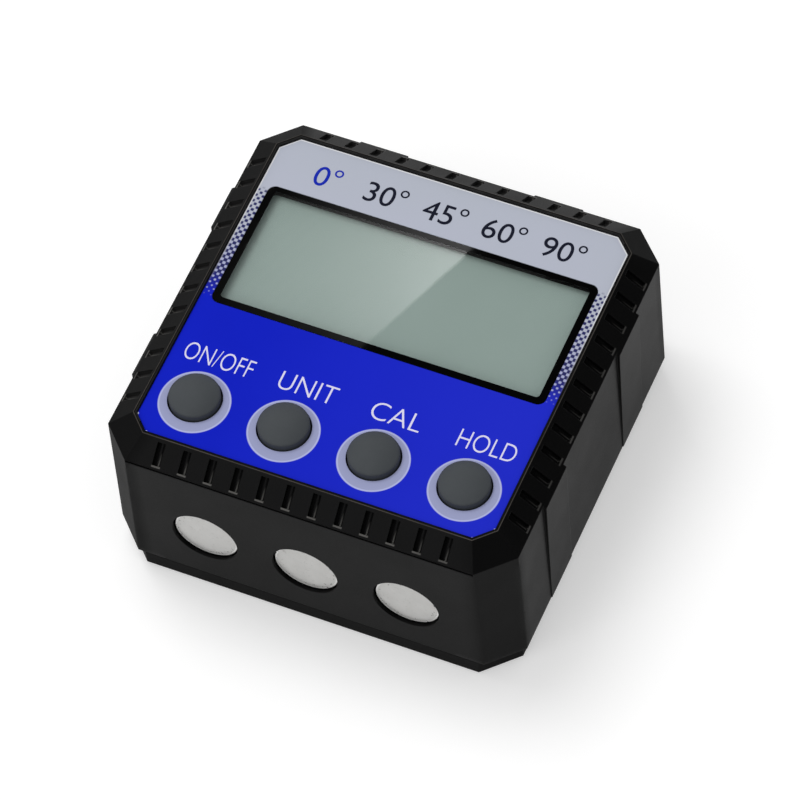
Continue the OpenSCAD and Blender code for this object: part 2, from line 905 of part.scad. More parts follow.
// Pan-head screw driven upwards, its head's seat at the given place
module screw(place, length) {
    recess_w = 0.5;
    recess_len = screw_head_d * 0.55;
    recess_depth = screw_head_h / 2;
    translate(place)
        difference() {
            union() {
                translate([0, 0, -screw_head_h])
                    cylinder(d = screw_head_d, h = screw_head_h);
                cylinder(d = screw_d, h = length, $fn = small_fn);
            }
            for (turn = [0, 90])
                rotate([0, 0, turn])
                    translate([-recess_len / 2, -recess_w / 2, -screw_head_h - cut])
                        cube([recess_len, recess_w, recess_depth + cut]);
        }
}

module case_screws() {
    color([0.6, 0.6, 0.62])
        for (p = case_screw_places)
            screw(p, case_screw_l);
}

module board_screws() {
    color([0.6, 0.6, 0.62])
        for (p = board_screw_places)
            screw([p[0], p[1], board_bottom], board_screw_l);
}

front_housing();
face_panel();
display_window();
lcd_panel();
lcd_frame();
contact_strips();
power_key();
unit_key();
zero_key();
hold_key();
power_plunger();
unit_plunger();
zero_plunger();
hold_plunger();
key_switches();
circuit_board();
tilt_sensor();
controller_chip();
base_magnet_left();
base_magnet_middle();
base_magnet_right();
back_cover();
battery_door();
battery_cell_lower();
battery_cell_upper();
battery_spring_contact();
battery_plate_contact();
battery_bridge_contact();
battery_leads();
case_screws();
board_screws();
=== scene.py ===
"""Looks of a small square digital angle gauge with a magnetic base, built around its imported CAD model.

Sizes are in millimetres and turned into metres by MM. The face's print is laid out from its middle.
"""

import math

import bmesh
import bpy
from mathutils import Matrix, Vector


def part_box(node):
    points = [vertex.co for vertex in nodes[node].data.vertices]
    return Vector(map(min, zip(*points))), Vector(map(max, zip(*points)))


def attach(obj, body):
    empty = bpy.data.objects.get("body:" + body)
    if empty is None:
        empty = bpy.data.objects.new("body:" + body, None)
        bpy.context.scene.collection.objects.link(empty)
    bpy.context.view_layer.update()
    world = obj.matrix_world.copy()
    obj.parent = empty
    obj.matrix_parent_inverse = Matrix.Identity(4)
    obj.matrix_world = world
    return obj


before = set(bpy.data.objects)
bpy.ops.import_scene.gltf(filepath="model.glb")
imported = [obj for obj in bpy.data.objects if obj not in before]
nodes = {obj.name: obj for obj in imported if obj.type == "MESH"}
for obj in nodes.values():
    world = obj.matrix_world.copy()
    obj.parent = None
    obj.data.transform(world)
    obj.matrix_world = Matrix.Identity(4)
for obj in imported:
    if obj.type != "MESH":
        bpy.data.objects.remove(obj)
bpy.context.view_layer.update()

MM = 0.001
CASE = "case"

# Camera, as found from the corners of the case
CAMERA_PLACE = Vector((163.976, -305.144, 524.938)) * MM
CAMERA_AIM = Vector((1.558, -0.995, 12.5)) * MM
CAMERA_ROLL = math.radians(6.068)
LENS = 232.855
SENSOR = 36

# Studio: world light, mirrored flag and dusk, floor, and lamps with place, size, watts and mirrored or not
AMBIENT = 0.52
FLAG = 0.05
FLAG_FROM, FLAG_TO = 0.15, 0.5
DUSK = 0.15
DUSK_FROM, DUSK_TO = 0.05, 0.5
FLOOR_HALF = 1500
FLOOR_DROP = 0.02
FLOOR_LIFT = 0.39
LAMP_AIM = Vector((0, 0, 10))
LAMPS = {
    "key_lamp": (Vector((-400, 200, 980)), 560, 4.6, False),
    "fill_lamp": (Vector((-200, -560, 540)), 420, 0.8, True),
}

# Straight edge between the bright card and the dark flag mirrored in the window, from the panel's middle
GLINT_TOP = Vector((4.98, 15.08))
GLINT_LOW = Vector((-1.78, -2.86))
GLINT_PAST = 0.5
GLINT_REACH = 26
GLINT_COLUMNS = 16
GLINT_LIGHT = 3.0
GLINT_DARK = 0.06
GLINT_LAST = 0.2
GLINT_FALL = 1.6

# Print on the face panel, from the panel's middle; shares of the fade run from its top to its bottom
FADE_TOP = 14.6
FADE_BOTTOM = -2.4
FADE_START = 0.04
FADE_SOLID = 0.93
DOT_PITCH = 0.62
DOT_SOFT = 0.12
DOT_TOP, DOT_LOW = 0.37, 0.6
DOT_SLOW = 0.78
GAP_TURN = 0.3
RING_R = 4.33
RING_OFF = Vector((0.12, -0.43))
RING_LINE = 0.2
# Width of the painted highlight along the panel's upper edges, where it fades, and radius of its painted
# corner glints
PANEL_LINE = 0.16
PANEL_LINE_WHOLE, PANEL_LINE_GONE = 0.2, 0.9
PANEL_GLINT = 0.15
PRINT_EDGE = 0.05
# Across the panel, where the blue's painted sheen grows towards the right
BLUE_FROM, BLUE_TO = -14.0, 18.0
SILVER_TOP = 22.0
SILVER_TURN = 0.7
INK_T = 0.02
LETTER_T = 0.02
LETTER_STEPS = 6
WORD_BASE = -11.55
WORD_CAP = 2.5
WORD_THIN = -0.012
NUMBER_BASE = 17.0
NUMBER_CAP = 3.0
NUMBER_REACH = 19.1
KEY_WORDS = {
    "power_key": ("ON/OFF", 8.7, -16.7),
    "unit_key": ("UNIT", 7.2, -5.3),
    "zero_key": ("CAL", 6.3, 6.0),
    "hold_key": ("HOLD", 7.2, 17.4),
}
ANGLE_NUMBERS = ["0°", "30°", "45°", "60°", "90°"]

# Black border of the window
BORDER_W = 0.9
BORDER_TOP = 0.72
BORDER_INNER_R = 0.45
BORDER_OUTER_R = 0.95
BORDER_RISE = 0.015
BORDER_T = 0.045
BORDER_EDGE = 0.03
BORDER_ROUGH = 0.02
BORDER_SHINE = 0.22

# Black plastic: grain size, relief, roughness and how far its edges are painted lighter, partly rubbed wear
# and partly painted highlight
HOUSING_GRAIN, HOUSING_WORN_LIT = 0.13, 0.5
COVER_GRAIN, COVER_WORN_LIT, COVER_ROUGH, COVER_RELIEF = 0.2, 0.15, 0.64, 0.04
DOOR_GRAIN, DOOR_WORN_LIT = 0.16, 0.6
PLASTIC_ROUGH = 0.46
PLASTIC_SPREAD = 0.04
PLASTIC_FLICKER = 0.03
PLASTIC_RELIEF = 0.012
PLASTIC_SHINE = 0.08
PLASTIC_EDGE = 0.16
RUB_SHEEN_FROM, RUB_SHEEN_TO = 0.01, 0.16
WEAR_SHEEN_FROM, WEAR_SHEEN_TO = 0.35, 0.7
WEAR_SHEEN_LEAST = 0.25
UNEVEN_FROM, UNEVEN_TO = 0.3, 0.6
UNEVEN_LEAST = 0.6

# Rim and bezel, with heights below the rim's level and distances outwards from the rim's outer edge
RIM_TOP_FROM, RIM_TOP_TO = 0.03, 0.01
# Width, softness and heights of the painted highlight line on the rim's outer edge
RIM_LINE = 0.06
RIM_LINE_SOFT = 0.03
RIM_LINE_FROM, RIM_LINE_TO = 0.3, 0.2
BEZEL_H = 2.4
BEZEL_IN = 3.0
BEZEL_MARGIN = 0.05

# Grooves in the bezel, with painted highlights on their outer ends and stems
GROOVE_PITCH = 3.3
GROOVE_COUNT = 12
GROOVE_HALF = 0.5
GROOVE_SOFT = 0.1
GROOVE_END = 2.62
GROOVE_END_W = 0.13
GROOVE_END_SOFT = 0.05
GROOVE_STOP_FROM, GROOVE_STOP_TO = 0.06, 0.04
GROOVE_SUNK_FROM, GROOVE_SUNK_TO = 0.1, 0.2
GROOVE_FLOOR_HALF = 0.2
GROOVE_TILT = 0.55
GROOVE_LOW_FROM, GROOVE_LOW_TO = 2.9, 2.6
GROOVE_RIGHT = 0.45
STEM_OFF = 0.14
STEM_HALF = 0.04
STEM_SOFT = 0.08
STEM_FROM, STEM_TO = 1.0, 2.2

# Upright edges are soft, and facets and the left slope are duller
CORNER_SOFT = 1.3
CORNER_ASIDE_FROM, CORNER_ASIDE_TO = 18.6, 19.6
CORNER_ALONG_FROM, CORNER_ALONG_TO = 17.0, 18.5
CORNER_LOW_FROM, CORNER_LOW_TO = 3.6, 4.6
FACET_BLEND = 1.2
FACET_SPLIT = 1.0
FACET_RIGHT = 0.5
DULL = 0.17

# Window
WINDOW_IOR = 1.45
WINDOW_ROUGH, WINDOW_SMEARED = 0.006, 0.009
SMEAR_FROM, SMEAR_TO = 0.35, 0.7

# Shares of the broad noise in the display and in the keys
LCD_BROAD = 0.8
KEY_BROAD = 0.6

# Magnets, as shares of the radius and as widths
CHIPS_FROM, CHIPS_TO = 0.75, 0.92
CHIP_FROM, CHIP_TO = 0.64, 0.68
CHIP_MIDDLE = 0.1
CHIP_ROUGH = 0.3
STAIN_FROM, STAIN_TO = 0.3, 0.75
STAIN_MOST = 0.5
# Where the painted rim highlight starts and ends, inwards from the rim
MAGNET_RIM_FROM, MAGNET_RIM_TO = 0.26, 0.16
MAGNET_METAL = 0.45

# Battery cells, along the cell from its middle
COPPER_FROM = 10.0
COPPER_METAL = 0.8
STEEL_FROM = 21.2
CELL_EDGE = 0.1

# Colours
SILVER = (0.46, 0.49, 0.563)
SILVER_LOW = (0.485, 0.505, 0.615)
BLUE = (0.0068, 0.017, 0.565)
BLUE_DEEP = (0.0062, 0.0155, 0.53)
# Painted sheen on the blue towards the right
BLUE_RIGHT_SHEEN = (0.0155, 0.026, 0.59)
DOT_NAVY = (0.026, 0.028, 0.12)
GAP_BLUE = (0.36, 0.38, 0.66)
RING = (0.34, 0.365, 0.57)
RING_PALE = (0.47, 0.5, 0.78)
# Painted highlight on the panel's upper edges and corners
PANEL_HIGHLIGHT = (0.82, 0.83, 0.86)
WORD_INK = (0.74, 0.72, 0.90)
NUMBER_INK = (0.012, 0.014, 0.026)
NUMBER_BLUE = (0.012, 0.028, 0.42)
BLACK_INK = (0.0006, 0.0006, 0.0006)
LCD = (0.32, 0.393, 0.368)
LCD_LOW = (0.304, 0.376, 0.35)
WINDOW_CLEAR = (0.98, 0.99, 0.985)
WINDOW_DIM = (0.965, 0.975, 0.97)
WINDOW_PASS = (0.97, 0.98, 0.975)
PLASTIC = (0.002, 0.002, 0.0021)
# Edge colour painted lighter: partly rubbed wear, partly painted highlight
PLASTIC_WORN_AND_LIT = (0.024, 0.024, 0.0245)
# Painted highlight line on the rim's outer edge
PLASTIC_RIM_HIGHLIGHT = (0.07, 0.063, 0.056)
# Painted highlight on the grooves' outer ends and stems
GROOVE_HIGHLIGHT = (0.1, 0.097, 0.092)
# Painted lift of the shade in groove floors on the upper and left slopes
GROOVE_SHADE_LIFT = (0.022, 0.0218, 0.0215)
KEY_GREY = (0.06, 0.067, 0.073)
KEY_DARK = (0.047, 0.053, 0.058)
NICKEL = (0.62, 0.616, 0.6)
NICKEL_DULL = (0.53, 0.526, 0.51)
# Painted highlight round the magnets' rims
NICKEL_RIM_HIGHLIGHT = (0.9, 0.9, 0.88)
NICKEL_CHIP = (0.05, 0.048, 0.045)
CELL_BLACK = (0.014, 0.014, 0.016)
CELL_GREY = (0.02, 0.02, 0.022)
CELL_COPPER = (0.42, 0.2, 0.09)
CELL_STEEL = (0.55, 0.55, 0.53)
WHITE = (1.0, 1.0, 1.0)
FLOOR = (0.75, 0.75, 0.75)
FLOOR_SHADE = 0.985
INK_PALE, INK_DARK = 1.06, 0.94

# Pieces inside the case by material: nodes, light tone, dark tone, grain size, roughness, metal
INNER_FINISHES = {
    "frame_plastic": (["lcd_frame"], (0.7, 0.7, 0.66), (0.62, 0.62, 0.58), 0.3, 0.5, 0.0),
    "strip_rubber": (["contact_strips"], (0.66, 0.3, 0.4), (0.58, 0.24, 0.34), 0.2, 0.6, 0.0),
    "board_laminate": (["circuit_board"], (0.02, 0.16, 0.06), (0.014, 0.12, 0.045), 0.5, 0.35, 0.0),
    "chip_black": (
        ["tilt_sensor", "controller_chip"], (0.018, 0.018, 0.018), (0.012, 0.012, 0.012), 0.1, 0.55, 0.0,
    ),
    "switch_plastic": (
        ["key_switches", "power_plunger", "unit_plunger", "zero_plunger", "hold_plunger"],
        (0.045, 0.045, 0.048), (0.035, 0.035, 0.037), 0.15, 0.5, 0.0,
    ),
    "contact_metal": (
        ["battery_spring_contact", "battery_plate_contact", "battery_bridge_contact"],
        (0.62, 0.61, 0.58), (0.52, 0.51, 0.48), 0.3, 0.25, 1.0,
    ),
    "screw_steel": (["case_screws", "board_screws"], (0.5, 0.5, 0.5), (0.4, 0.4, 0.41), 0.12, 0.3, 1.0),
    "lead_insulation": (["battery_leads"], (0.4, 0.02, 0.02), (0.32, 0.014, 0.014), 0.2, 0.4, 0.0),
}
INNER_SHINE = 0.3
INNER_SPREAD = 0.1
INNER_RELIEF = 0.03

# Part of a noise that is spread over a range, and how near a level a corner has to lie
NOISE_LOW, NOISE_HIGH = 0.3, 0.7
LEVEL_SLACK = 0.01


def millimetres(x, y, z):
    """A point in metres from millimetres."""
    return Vector((x, y, z)) * MM


class Nodes:
    """A node tree with short calls for the nodes that this scene uses."""

    def __init__(self, tree):
        self.tree = tree

    def feed(self, socket, value):
        """Links a socket to another, or sets it to a plain value."""
        if isinstance(value, bpy.types.NodeSocket):
            self.tree.links.new(value, socket)
        elif isinstance(value, tuple) and socket.type == "RGBA":
            socket.default_value = (*value, 1)
        else:
            socket.default_value = value

    def node(self, kind, **inputs):
        made = self.tree.nodes.new("ShaderNode" + kind)
        for name, value in inputs.items():
            self.feed(made.inputs[name.replace("_", " ")], value)
        return made

    def math(self, operation, first, second=0.0, third=0.0):
        made = self.tree.nodes.new("ShaderNodeMath")
        made.operation = operation
        for socket, value in zip(made.inputs, (first, second, third)):
            self.feed(socket, value)
        return made.outputs[0]

    def mix(self, factor, first, second):
        made = self.tree.nodes.new("ShaderNodeMix")
        made.data_type = "RGBA"
        self.feed(made.inputs[0], factor)
        self.feed(made.inputs[6], first)
        self.feed(made.inputs[7], second)
        return made.outputs[2]

    def blend(self, factor, first, second):
        """A vector between two others."""
        made = self.tree.nodes.new("ShaderNodeMix")
        made.data_type = "VECTOR"
        self.feed(made.inputs[0], factor)
        self.feed(made.inputs[4], first)
        self.feed(made.inputs[5], second)
        return made.outputs[1]

    def vector(self, operation, first, second=(0.0, 0.0, 0.0)):
        made = self.tree.nodes.new("ShaderNodeVectorMath")
        made.operation = operation
        self.feed(made.inputs[0], first)
        self.feed(made.inputs[1], second)
        return made.outputs["Value" if operation == "DOT_PRODUCT" else "Vector"]

    def axes(self, place):
        return self.node("SeparateXYZ", Vector=place).outputs

    def ramp(self, value, low, high, to_low=0.0, to_high=1.0):
        """A value from one range to another, held at its ends."""
        made = self.tree.nodes.new("ShaderNodeMapRange")
        for socket, number in zip(made.inputs, (value, low, high, to_low, to_high)):
            self.feed(socket, number)
        return made.outputs[0]

    def spread(self, noise, to_low=0.0, to_high=1.0):
        """A noise's middle part spread over a range."""
        return self.ramp(noise, NOISE_LOW, NOISE_HIGH, to_low, to_high)

    def distance(self, first, second):
        """The length of a way that goes aside by one value and along by another."""
        squares = [self.math("POWER", value, 2.0) for value in (first, second)]
        return self.math("SQRT", self.math("ADD", *squares))

    def band(self, value, low, high, soft):
        """1 between two values and 0 outside them, with soft edges."""
        return self.math("MULTIPLY", self.ramp(value, low - soft, low), self.ramp(value, high + soft, high))


class Material(Nodes):
    """A material with its main shader."""

    def __init__(self, name):
        self.material = bpy.data.materials.new(name)
        self.material.use_nodes = True
        super().__init__(self.material.node_tree)
        self.shader = self.tree.nodes["Principled BSDF"]
        self.output = self.tree.nodes["Material Output"]

    def set(self, **inputs):
        """Sets or links inputs of the main shader."""
        for name, value in inputs.items():
            self.feed(self.shader.inputs[name.replace("_", " ")], value)

    def place(self):
        """The point on the surface in millimetres, in the part's own frame."""
        return self.vector("MULTIPLY", self.node("TexCoord").outputs["Object"], (1 / MM, 1 / MM, 1 / MM))

    def noise(self, place, size, detail=2.0, stretch=(1.0, 1.0, 1.0)):
        """Noise whose blotches are about size millimetres across."""
        mapping = self.node("Mapping", Vector=place)
        mapping.inputs["Scale"].default_value = stretch
        made = self.node("TexNoise", Vector=mapping.outputs[0], Scale=1 / size, Detail=detail)
        return made.outputs["Fac"]

    def bump(self, height, distance, strength=1.0, normal=None):
        """A bump normal from a height, with its distance in millimetres."""
        made = self.node("Bump", Height=height, Distance=distance * MM, Strength=strength)
        if normal is not None:
            self.feed(made.inputs["Normal"], normal)
        return made.outputs[0]

    def edge(self, radius):
        """A rounded normal near edges and how far it departs from the flat one."""
        rounded = self.node("Bevel", Radius=radius * MM).outputs[0]
        flat = self.node("NewGeometry").outputs["True Normal"]
        return rounded, self.math("SUBTRACT", 1.0, self.vector("DOT_PRODUCT", rounded, flat))


def eight_sided(mesh, level):
    """Middle, half sizes and diagonal reach of a mesh's outline at one height, in millimetres."""
    points = [v.co / MM for v in mesh.vertices if abs(v.co.z / MM - level) < LEVEL_SLACK]
    low = Vector((min(p.x for p in points), min(p.y for p in points)))
    high = Vector((max(p.x for p in points), max(p.y for p in points)))
    middle = (low + high) / 2
    half = (high - low) / 2
    reach = max(abs(p.x - middle.x) + abs(p.y - middle.y) for p in points)
    return middle, half, reach


class OutlinePlace:
    """Where a surface's points lie against an eight-sided outline, as sockets in millimetres."""

    def __init__(self, m, place, outline):
        middle, half, reach = outline
        self.x, self.y, self.height = m.axes(place)
        self.across = m.math("SUBTRACT", self.x, middle.x)
        self.up = m.math("SUBTRACT", self.y, middle.y)
        self.aside = m.math("ABSOLUTE", self.across)
        self.along = m.math("ABSOLUTE", self.up)
        past_reach = m.math("SUBTRACT", reach, m.math("ADD", self.aside, self.along))
        self.slanting = m.math("MULTIPLY", past_reach, math.sqrt(0.5))
        in_x = m.math("SUBTRACT", half.x, self.aside)
        in_y = m.math("SUBTRACT", half.y, self.along)
        self.depth = m.math("MINIMUM", m.math("MINIMUM", in_x, in_y), self.slanting)


class BezelPlace(OutlinePlace):
    """Where a surface's points lie against a bezel's rim, and on which of its slopes."""

    def __init__(self, m, place, outline, level):
        super().__init__(m, place, outline)
        half = outline[1]
        self.level = level
        past_end = m.math("SUBTRACT", self.along, half.y)
        past_side = m.math("SUBTRACT", self.aside, half.x)
        self.on_end = m.math("GREATER_THAN", past_end, past_side)
        self.on_side = m.math("SUBTRACT", 1.0, self.on_end)
        self.upper = m.math("MULTIPLY", self.on_end, m.math("GREATER_THAN", self.up, 0.0))
        self.left = m.math("MULTIPLY", self.on_side, m.math("LESS_THAN", self.across, 0.0))


def paint_rim_highlight(m, at, uneven, colour):
    """The rim's flat top keeps the plain plastic colour beside a painted highlight line on its outer edge."""
    flat_top = m.ramp(at.height, at.level - RIM_TOP_FROM, at.level - RIM_TOP_TO)
    colour = m.mix(flat_top, colour, PLASTIC)
    # Painted highlight line along the rim's outer edge
    highlight_line = m.band(at.depth, -RIM_LINE, 0.0, RIM_LINE_SOFT)
    highlight_line = m.math("MULTIPLY", highlight_line, m.ramp(at.height, at.level - RIM_LINE_FROM, at.level - RIM_LINE_TO))
    return m.mix(m.math("MULTIPLY", highlight_line, uneven), colour, PLASTIC_RIM_HIGHLIGHT)


def shade_grooves(m, at, uneven, colour, normal):
    """Grooves with a hollow floor, floors on two slopes painted lighter as a painted lift of their shade, and
    painted highlights on the outer end and on a stem that fades upwards.
    """
    run = m.math("ADD", m.math("MULTIPLY", at.on_end, at.across), m.math("MULTIPLY", at.on_side, at.up))
    grooved = m.math("LESS_THAN", m.math("ABSOLUTE", run), GROOVE_PITCH * GROOVE_COUNT / 2)
    run = m.math("WRAP", m.math("SUBTRACT", run, GROOVE_PITCH / 2), GROOVE_PITCH / 2, -GROOVE_PITCH / 2)

    slope = m.math("MULTIPLY_ADD", at.depth, BEZEL_H / BEZEL_IN, at.level)
    sunk = m.ramp(m.math("SUBTRACT", slope, at.height), GROOVE_SUNK_FROM, GROOVE_SUNK_TO)
    stop = m.ramp(at.depth, -GROOVE_END - GROOVE_STOP_FROM, -GROOVE_END - GROOVE_STOP_TO)
    sunk = m.math("MULTIPLY", sunk, stop)
    tilt = m.ramp(run, -GROOVE_FLOOR_HALF, GROOVE_FLOOR_HALF, GROOVE_TILT, -GROOVE_TILT)
    hollow = m.math("MULTIPLY", sunk, tilt)
    lean_x = m.math("MULTIPLY", hollow, at.on_end)
    lean_y = m.math("MULTIPLY", hollow, at.on_side)
    lean = m.node("CombineXYZ", X=lean_x, Y=lean_y).outputs[0]
    normal = m.vector("NORMALIZE", m.vector("ADD", normal, lean))
    # Groove floors on the upper and left slopes painted lighter, a painted lift of their shade
    colour = m.mix(m.math("MULTIPLY", sunk, m.math("ADD", at.upper, at.left)), colour, GROOVE_SHADE_LIFT)

    # Painted highlights on each groove's outer end and on a stem up its floor
    end = m.band(at.depth, -GROOVE_END - GROOVE_END_W, -GROOVE_END, GROOVE_END_SOFT)
    end = m.math("MULTIPLY", end, m.band(run, -GROOVE_HALF, GROOVE_HALF, GROOVE_SOFT))
    stem = m.math("MULTIPLY", sunk, m.band(run, STEM_OFF - STEM_HALF, STEM_OFF + STEM_HALF, STEM_SOFT))
    stem = m.math("MULTIPLY", stem, m.ramp(at.depth, -STEM_FROM, -STEM_TO))
    light = m.math("MULTIPLY", m.math("MAXIMUM", end, stem), m.math("MULTIPLY", grooved, uneven))
    above_walls = m.ramp(at.height, at.level - GROOVE_LOW_FROM, at.level - GROOVE_LOW_TO)
    light = m.math("MULTIPLY", light, above_walls)
    right = m.math("SUBTRACT", at.on_side, at.left)
    light = m.math("MULTIPLY", light, m.ramp(right, 0.0, 1.0, 1.0, GROOVE_RIGHT))
    return m.mix(light, colour, GROOVE_HIGHLIGHT), normal


def soften_corners(m, at, rough, normal):
    """Softly rounded upright edges, with duller facets and a duller left slope."""
    corner = m.math(
        "MULTIPLY",
        m.ramp(at.aside, CORNER_ASIDE_FROM, CORNER_ASIDE_TO),
        m.ramp(at.along, CORNER_ALONG_FROM, CORNER_ALONG_TO),
    )
    below_slope = m.ramp(at.height, at.level - CORNER_LOW_FROM, at.level - CORNER_LOW_TO)
    corner = m.math("MULTIPLY", corner, below_slope)
    normal = m.blend(corner, normal, m.edge(CORNER_SOFT)[0])
    facet = m.ramp(m.math("SUBTRACT", at.slanting, at.depth), FACET_BLEND, 0.0)
    facet = m.math("MULTIPLY", facet, m.ramp(at.across, -FACET_SPLIT, FACET_SPLIT, 1.0, FACET_RIGHT))
    on_slope = m.math("GREATER_THAN", at.height, at.level - BEZEL_H - BEZEL_MARGIN)
    dull = m.math("MAXIMUM", facet, m.math("MULTIPLY", at.left, on_slope))
    return m.math("MULTIPLY_ADD", dull, DULL, rough), normal


def moulded_plastic(name, grain, worn_and_lit, rough=PLASTIC_ROUGH, relief=PLASTIC_RELIEF, rim=None):
    """Satin black plastic with a fine grain and edges painted lighter, partly rubbed wear and partly painted
    highlight; rim is a bezel's outline and level.
    """
    m = Material(name)
    place = m.place()
    normal, turn = m.edge(PLASTIC_EDGE)
    fine = m.noise(place, grain, detail=3.0)
    broad = m.noise(place, size=6.0)
    wear_and_sheen = m.ramp(broad, WEAR_SHEEN_FROM, WEAR_SHEEN_TO, WEAR_SHEEN_LEAST * worn_and_lit, worn_and_lit)
    # Edges painted lighter: partly rubbed wear, partly a painted highlight where edges catch light
    rub_and_highlight = m.math("MULTIPLY", m.ramp(turn, RUB_SHEEN_FROM, RUB_SHEEN_TO), wear_and_sheen)
    rough = m.spread(broad, rough, rough + PLASTIC_SPREAD)
    colour = m.mix(rub_and_highlight, PLASTIC, PLASTIC_WORN_AND_LIT)
    if rim:
        at = BezelPlace(m, place, *rim)
        uneven = m.ramp(broad, UNEVEN_FROM, UNEVEN_TO, UNEVEN_LEAST, 1.0)
        colour = paint_rim_highlight(m, at, uneven, colour)
        colour, normal = shade_grooves(m, at, uneven, colour, normal)
        rough, normal = soften_corners(m, at, rough, normal)
    m.set(
        Base_Color=colour,
        Roughness=m.math("ADD", rough, m.spread(fine, -PLASTIC_FLICKER, PLASTIC_FLICKER)),
        Specular_IOR_Level=PLASTIC_SHINE,
        Normal=m.bump(fine, relief, strength=0.5, normal=normal),
    )
    return m.material


def face_print(outline, key_places, key_pitch):
    """Silver that turns into blue through navy dots, with a pale ring round each key, painted highlights on
    the panel's upper edges and corners, and a painted sheen on the blue towards the right.
    """
    m = Material("face_print")
    place = m.place()
    at = OutlinePlace(m, place, outline)
    fade = m.ramp(at.up, FADE_TOP, FADE_BOTTOM)

    wave = 2 * math.pi / DOT_PITCH / math.sqrt(2)
    columns = m.math("COSINE", m.math("MULTIPLY", m.math("ADD", at.across, at.up), wave))
    rows = m.math("COSINE", m.math("MULTIPLY", m.math("SUBTRACT", at.across, at.up), wave))
    # Both waves together, brought to between 0 and 1
    dots = m.math("MULTIPLY_ADD", m.math("ADD", columns, rows), 0.25, 0.5)
    cover = m.ramp(fade, 0.0, DOT_SLOW, DOT_TOP, DOT_LOW)
    cover = m.math("ADD", cover, m.ramp(fade, DOT_SLOW, 1.0, 0.0, 1 - DOT_LOW))
    blue = m.ramp(m.math("SUBTRACT", cover, dots), -DOT_SOFT, DOT_SOFT)
    blue = m.math("MAXIMUM", blue, m.ramp(fade, FADE_SOLID, 1.0))
    blue = m.math("MULTIPLY", blue, m.ramp(fade, 0.0, FADE_START))

    ring_place = key_places[0].xy + RING_OFF
    wrapped = m.math("WRAP", m.math("SUBTRACT", at.x, ring_place.x), key_pitch / 2, -key_pitch / 2)
    distance = m.distance(wrapped, m.math("SUBTRACT", at.y, ring_place.y))
    ring = m.ramp(distance, RING_R + PRINT_EDGE, RING_R - PRINT_EDGE)
    line_r = RING_R - RING_LINE
    ring_line = m.ramp(distance, line_r - PRINT_EDGE, line_r + PRINT_EDGE)

    # Painted highlight along the panel's upper edges and painted glints at its corners
    panel_highlight = m.ramp(at.depth, PANEL_LINE + PRINT_EDGE, PANEL_LINE - PRINT_EDGE)
    panel_highlight = m.math("MULTIPLY", panel_highlight, m.ramp(fade, PANEL_LINE_GONE, PANEL_LINE_WHOLE))
    _, half, reach = outline
    corner_glints = [
        m.distance(m.math("SUBTRACT", at.aside, x), m.math("SUBTRACT", at.along, y))
        for x, y in ((half.x, reach - half.x), (reach - half.y, half.y))
    ]
    corner_glint = m.ramp(m.math("MINIMUM", *corner_glints), PANEL_GLINT + PRINT_EDGE, PANEL_GLINT - PRINT_EDGE)
    panel_highlight = m.math("MAXIMUM", panel_highlight, corner_glint)

    cloud = m.noise(place, size=9.0)
    low = m.ramp(at.up, SILVER_TOP, 0.0, 0.0, SILVER_TURN)
    silver = m.mix(m.math("ADD", low, m.spread(cloud, 0.0, 1 - SILVER_TURN)), SILVER, SILVER_LOW)
    deep = m.mix(m.spread(cloud), BLUE, BLUE_DEEP)
    # Blue painted lighter towards the right, a painted sheen
    deep = m.mix(m.ramp(at.across, BLUE_FROM, BLUE_TO), deep, BLUE_RIGHT_SHEEN)
    silver = m.mix(m.ramp(fade, GAP_TURN, 1.0), silver, GAP_BLUE)
    deep = m.mix(m.ramp(fade, DOT_SLOW, 1.0), DOT_NAVY, deep)
    colour = m.mix(ring, m.mix(blue, silver, deep), m.mix(ring_line, RING, RING_PALE))
    colour = m.mix(panel_highlight, colour, PANEL_HIGHLIGHT)
    ripple = m.noise(place, size=0.9, detail=3.0)
    m.set(
        Base_Color=colour,
        Roughness=m.spread(ripple, 0.46, 0.56),
        Specular_IOR_Level=0.03,
        Normal=m.bump(ripple, 0.004, strength=0.4, normal=m.edge(radius=0.08)[0]),
    )
    return m.material


def ink(name, colour, rough=0.5, shine=0.0):
    """Printed ink, slightly uneven."""
    m = Material(name)
    cloud = m.noise(m.place(), size=0.35, detail=3.0)
    pale = tuple(min(1.0, c * INK_PALE) for c in colour)
    dark = tuple(c * INK_DARK for c in colour)
    m.set(
        Base_Color=m.mix(cloud, pale, dark),
        Roughness=rough,
        Specular_IOR_Level=shine,
    )
    return m.material


def clear_window():
    """Clear coated plastic that lets lamps through to the display."""
    m = Material("clear_window")
    smear = m.noise(m.place(), size=7.0, detail=3.0)
    m.set(
        Base_Color=m.mix(m.ramp(smear, SMEAR_FROM, SMEAR_TO), WINDOW_CLEAR, WINDOW_DIM),
        Roughness=m.ramp(smear, SMEAR_FROM, SMEAR_TO, WINDOW_ROUGH, WINDOW_SMEARED),
        IOR=WINDOW_IOR,
        Transmission_Weight=1.0,
    )
    path = m.node("LightPath")
    through = m.node("BsdfTransparent", Color=WINDOW_PASS)
    shown = m.shader.outputs[0]
    for ray in ("Is Diffuse Ray", "Is Shadow Ray"):
        mixed = m.tree.nodes.new("ShaderNodeMixShader")
        m.feed(mixed.inputs[0], path.outputs[ray])
        m.feed(mixed.inputs[1], shown)
        m.feed(mixed.inputs[2], through.outputs[0])
        shown = mixed.outputs[0]
    m.feed(m.output.inputs["Surface"], shown)
    return m.material


